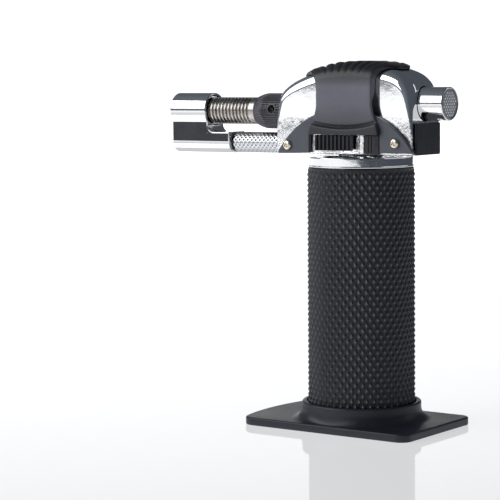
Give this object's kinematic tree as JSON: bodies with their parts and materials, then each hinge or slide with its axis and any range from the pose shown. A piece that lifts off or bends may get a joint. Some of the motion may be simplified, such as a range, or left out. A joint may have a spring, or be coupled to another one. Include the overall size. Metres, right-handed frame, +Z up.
{
  "type": "butane torch",
  "caption": "Hand-held butane jewellery torch with a knurled tank grip, side-facing finned burner, rear push-button igniter and a push-on stand.",
  "frame": {"origin": "on the tank's axis, at the underside of the stand", "axes": "+Z up along the tank, +X towards the ignition button (the nozzle points along -X), +Y to the right of a user who looks along the nozzle"},
  "size_m": [0.134, 0.0532, 0.1489],
  "materials": {
    "stand_plastic": "fine matte moulded black",
    "tank_plastic": "plain moulded",
    "grip_rubber": "black, raised diamond knurl with a slight sheen",
    "wick": "cotton",
    "brass": "turned",
    "spring_steel": "drawn wire",
    "chrome": "polished chrome plate",
    "seal_rubber": "moulded",
    "control_plastic": "ribbed black",
    "satin_black": "satin black",
    "screw_nickel": "nickel-plated brass",
    "saddle_rubber": "soft satin black",
    "cap_metal": "diamond-textured",
    "block_plastic": "black, slightly glossy",
    "burner_steel": "turned stainless fins",
    "ring_black": "fine lengthwise ribs",
    "copper": "drawn tube",
    "knurled_chrome": "fine diamond knurl",
    "ceramic": "white glazed",
    "lead_rubber": "insulated wire"
  },
  "bodies": {
    "stand": {"base_stand": "stand_plastic"},
    "torch": {"fuel_tank": "tank_plastic", "grip_sleeve": "grip_rubber", "dip_wick": "wick", "fill_valve_body": "brass", "fill_valve_spring": "spring_steel", "neck_ring": "chrome", "valve_seal": "seal_rubber", "valve_body": "brass", "valve_spring": "spring_steel", "head_shell_left": "chrome", "head_shell_right": "chrome", "side_plate_left": "satin_black", "side_plate_right": "satin_black", "plate_screw_1": "screw_nickel", "plate_screw_2": "screw_nickel", "plate_screw_3": "screw_nickel", "plate_screw_4": "screw_nickel", "thumb_saddle": "saddle_rubber", "piezo_body": "control_plastic", "button_spring": "spring_steel", "lever_pin": "spring_steel", "rear_block": "block_plastic", "burner_tube": "burner_steel", "gas_jet": "brass", "gas_tube": "copper", "flame_holder": "burner_steel", "nozzle_guard": "chrome", "igniter_tube": "knurled_chrome", "electrode_insulator": "ceramic", "electrode": "spring_steel", "ignition_lead": "lead_rubber"},
    "fill_stem": {"fill_valve_stem": "brass"},
    "valve_stem": {"valve_stem": "brass"},
    "flow_lever": {"flow_lever": "control_plastic"},
    "button": {"ignition_button": "chrome", "button_cap": "cap_metal", "valve_cam": "control_plastic", "piezo_plunger": "tank_plastic"},
    "gas_lever": {"gas_lever": "spring_steel"},
    "air_ring": {"air_control_ring": "ring_black"}
  },
  "joints": [
    {"name": "torch_lift", "type": "slide", "parent": "stand", "child": "torch", "axis": [0, 0, 1], "range_m": [0, 0.012]},
    {"name": "button_press", "type": "slide", "parent": "torch", "child": "button", "axis": [-1, 0, 0], "range_m": [0, 0.006], "stiffness_N_per_m": 1200, "deforming": ["button_spring"]},
    {"name": "lever_tilt", "type": "hinge", "parent": "torch", "child": "gas_lever", "pos_m": [0.007, 0, 0.12], "axis": [0, 1, 0], "range_deg": [0, 8.1]},
    {"name": "valve_lift", "type": "slide", "parent": "torch", "child": "valve_stem", "axis": [0, 0, 1], "range_m": [0, 0.001], "deforming": ["valve_spring"]},
    {"name": "flow_turn", "type": "hinge", "parent": "torch", "child": "flow_lever", "pos_m": [0, 0, 0.114], "axis": [0, 0, 1], "range_deg": [-4, 7]},
    {"name": "air_ring_turn", "type": "hinge", "parent": "torch", "child": "air_ring", "pos_m": [-0.04, 0, 0.1284], "axis": [1, 0, 0], "range_deg": [0, 60]},
    {"name": "fill_stem_press", "type": "slide", "parent": "torch", "child": "fill_stem", "axis": [0, 0, 1], "range_m": [0, 0.0015], "stiffness_N_per_m": 600, "deforming": ["fill_valve_spring"]}
  ],
  "couplings": [
    {"joint": "lever_tilt", "follows": "button_press", "rad_per_m": 23.3},
    {"joint": "valve_lift", "follows": "button_press", "ratio": 0.1633}
  ]
}
